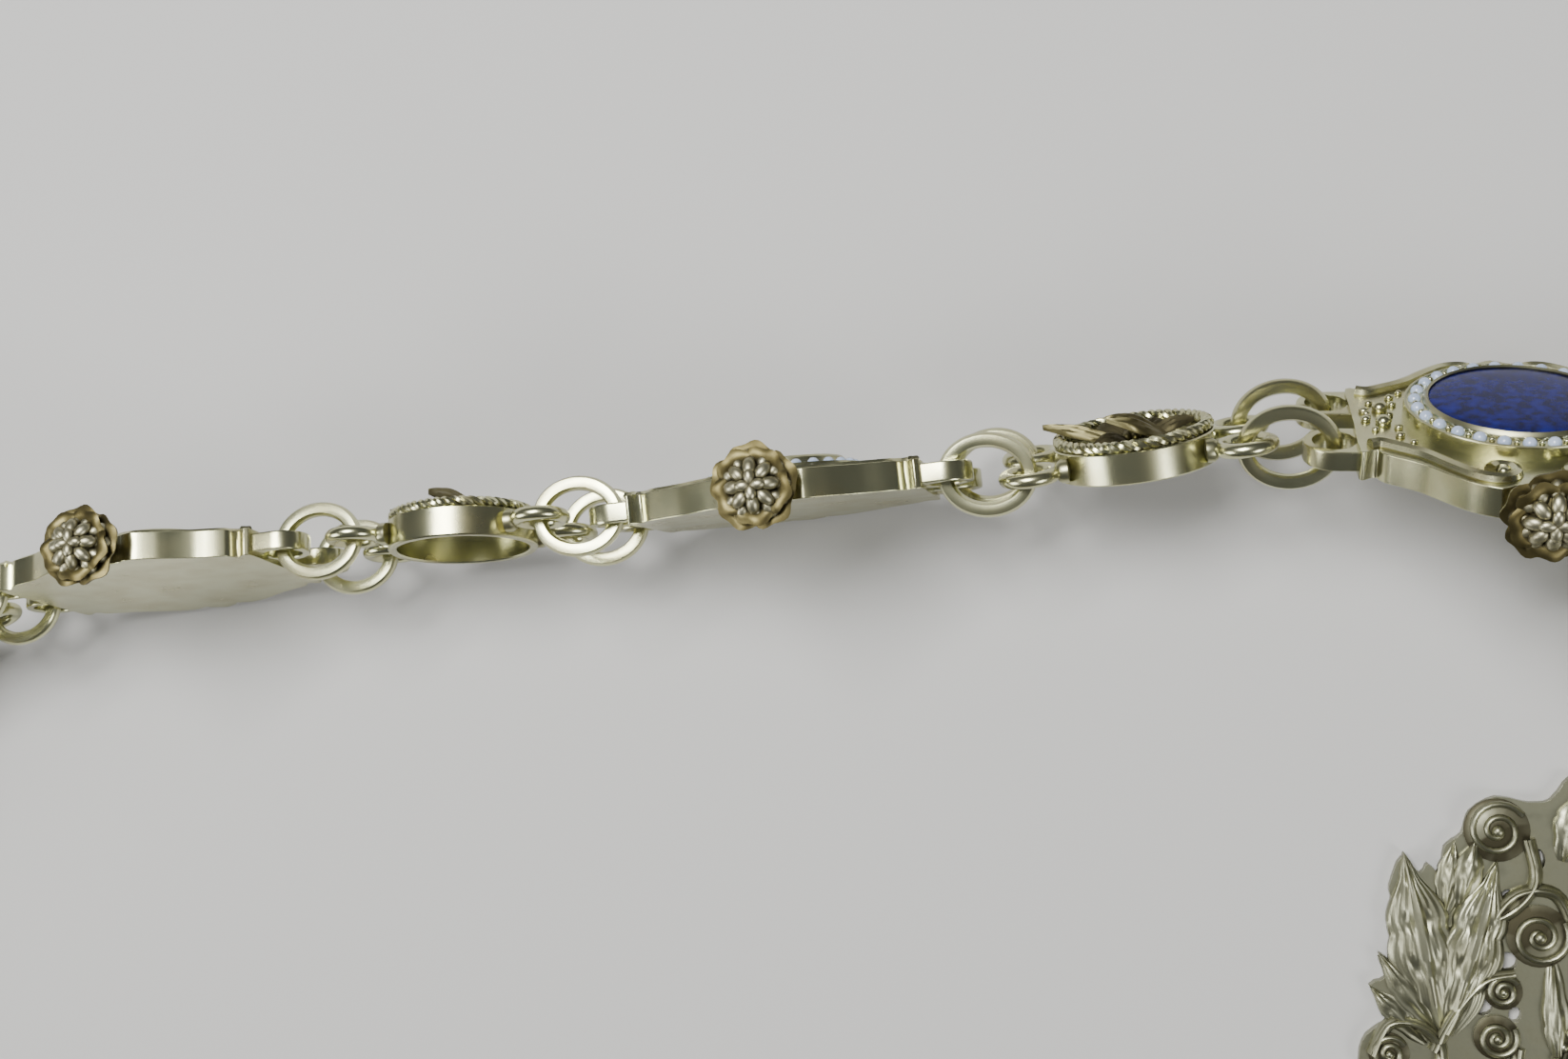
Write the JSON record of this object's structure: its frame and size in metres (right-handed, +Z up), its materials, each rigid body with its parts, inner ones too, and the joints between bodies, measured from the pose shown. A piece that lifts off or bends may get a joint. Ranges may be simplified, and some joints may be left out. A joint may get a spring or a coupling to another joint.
{
  "type": "ceremonial chain of office",
  "caption": "Mayoral chain of office: a closed loop of large links and drum links joined by pairs of oval rings, with a pierced badge hanging from the centre link.",
  "frame": {"origin": "on the floor, at the middle of the lying chain's footprint", "axes": "+X along the front stretch of the chain towards its centre link, +Y the way that stretch's faces look, +Z up"},
  "size_m": [0.4182, 0.2554, 0.0457],
  "materials": {
    "gilt": "polished silver-gilt",
    "rose_gilt": "darker tarnished gilt",
    "satin_gilt": "satin silver-gilt",
    "blue_stone": "polished"
  },
  "bodies": {
    "root": {"badge_frame": "satin_gilt", "badge_roundel": "blue_stone", "centre_link": "gilt", "centre_link_rose": "rose_gilt", "centre_stone": "blue_stone", "drum_link_left_1": "gilt", "drum_link_left_1_left_lower_ring": "gilt", "drum_link_left_1_left_upper_ring": "gilt", "drum_link_left_1_right_lower_ring": "gilt", "drum_link_left_1_right_upper_ring": "gilt", "drum_link_left_2": "gilt", "drum_link_left_2_left_lower_ring": "gilt", "drum_link_left_2_left_upper_ring": "gilt", "drum_link_left_2_right_lower_ring": "gilt", "drum_link_left_2_right_upper_ring": "gilt", "drum_link_left_3": "gilt", "drum_link_left_3_left_lower_ring": "gilt", "drum_link_left_3_left_upper_ring": "gilt", "drum_link_left_3_right_lower_ring": "gilt", "drum_link_left_3_right_upper_ring": "gilt", "drum_link_left_4": "gilt", "drum_link_left_5": "gilt", "drum_link_right_1": "gilt", "drum_link_right_1_left_lower_ring": "gilt", "drum_link_right_1_left_upper_ring": "gilt", "drum_link_right_1_right_lower_ring": "gilt", "drum_link_right_1_right_upper_ring": "gilt", "drum_link_right_2": "gilt", "drum_link_right_3": "gilt", "drum_link_right_4": "gilt", "drum_link_right_5": "gilt", "drum_link_right_6": "gilt", "hanger_ring_1": "gilt", "hanger_ring_2": "gilt", "hanger_ring_3": "gilt", "hanger_ring_4": "gilt", "hanger_ring_5": "gilt", "large_link_left_1": "gilt", "large_link_left_1_rose": "rose_gilt", "large_link_left_2": "gilt", "large_link_left_2_rose": "rose_gilt", "large_link_left_3": "gilt", "large_link_left_3_rose": "rose_gilt", "large_link_left_4": "gilt", "large_link_left_4_rose": "rose_gilt", "large_link_left_5": "gilt", "large_link_left_5_rose": "rose_gilt", "large_link_right_1": "gilt", "large_link_right_1_rose": "rose_gilt", "large_link_right_2": "gilt", "large_link_right_2_rose": "rose_gilt", "large_link_right_3": "gilt", "large_link_right_3_rose": "rose_gilt", "large_link_right_4": "gilt", "large_link_right_4_rose": "rose_gilt", "large_link_right_5": "gilt", "large_link_right_5_rose": "rose_gilt"}
  },
  "joints": []
}
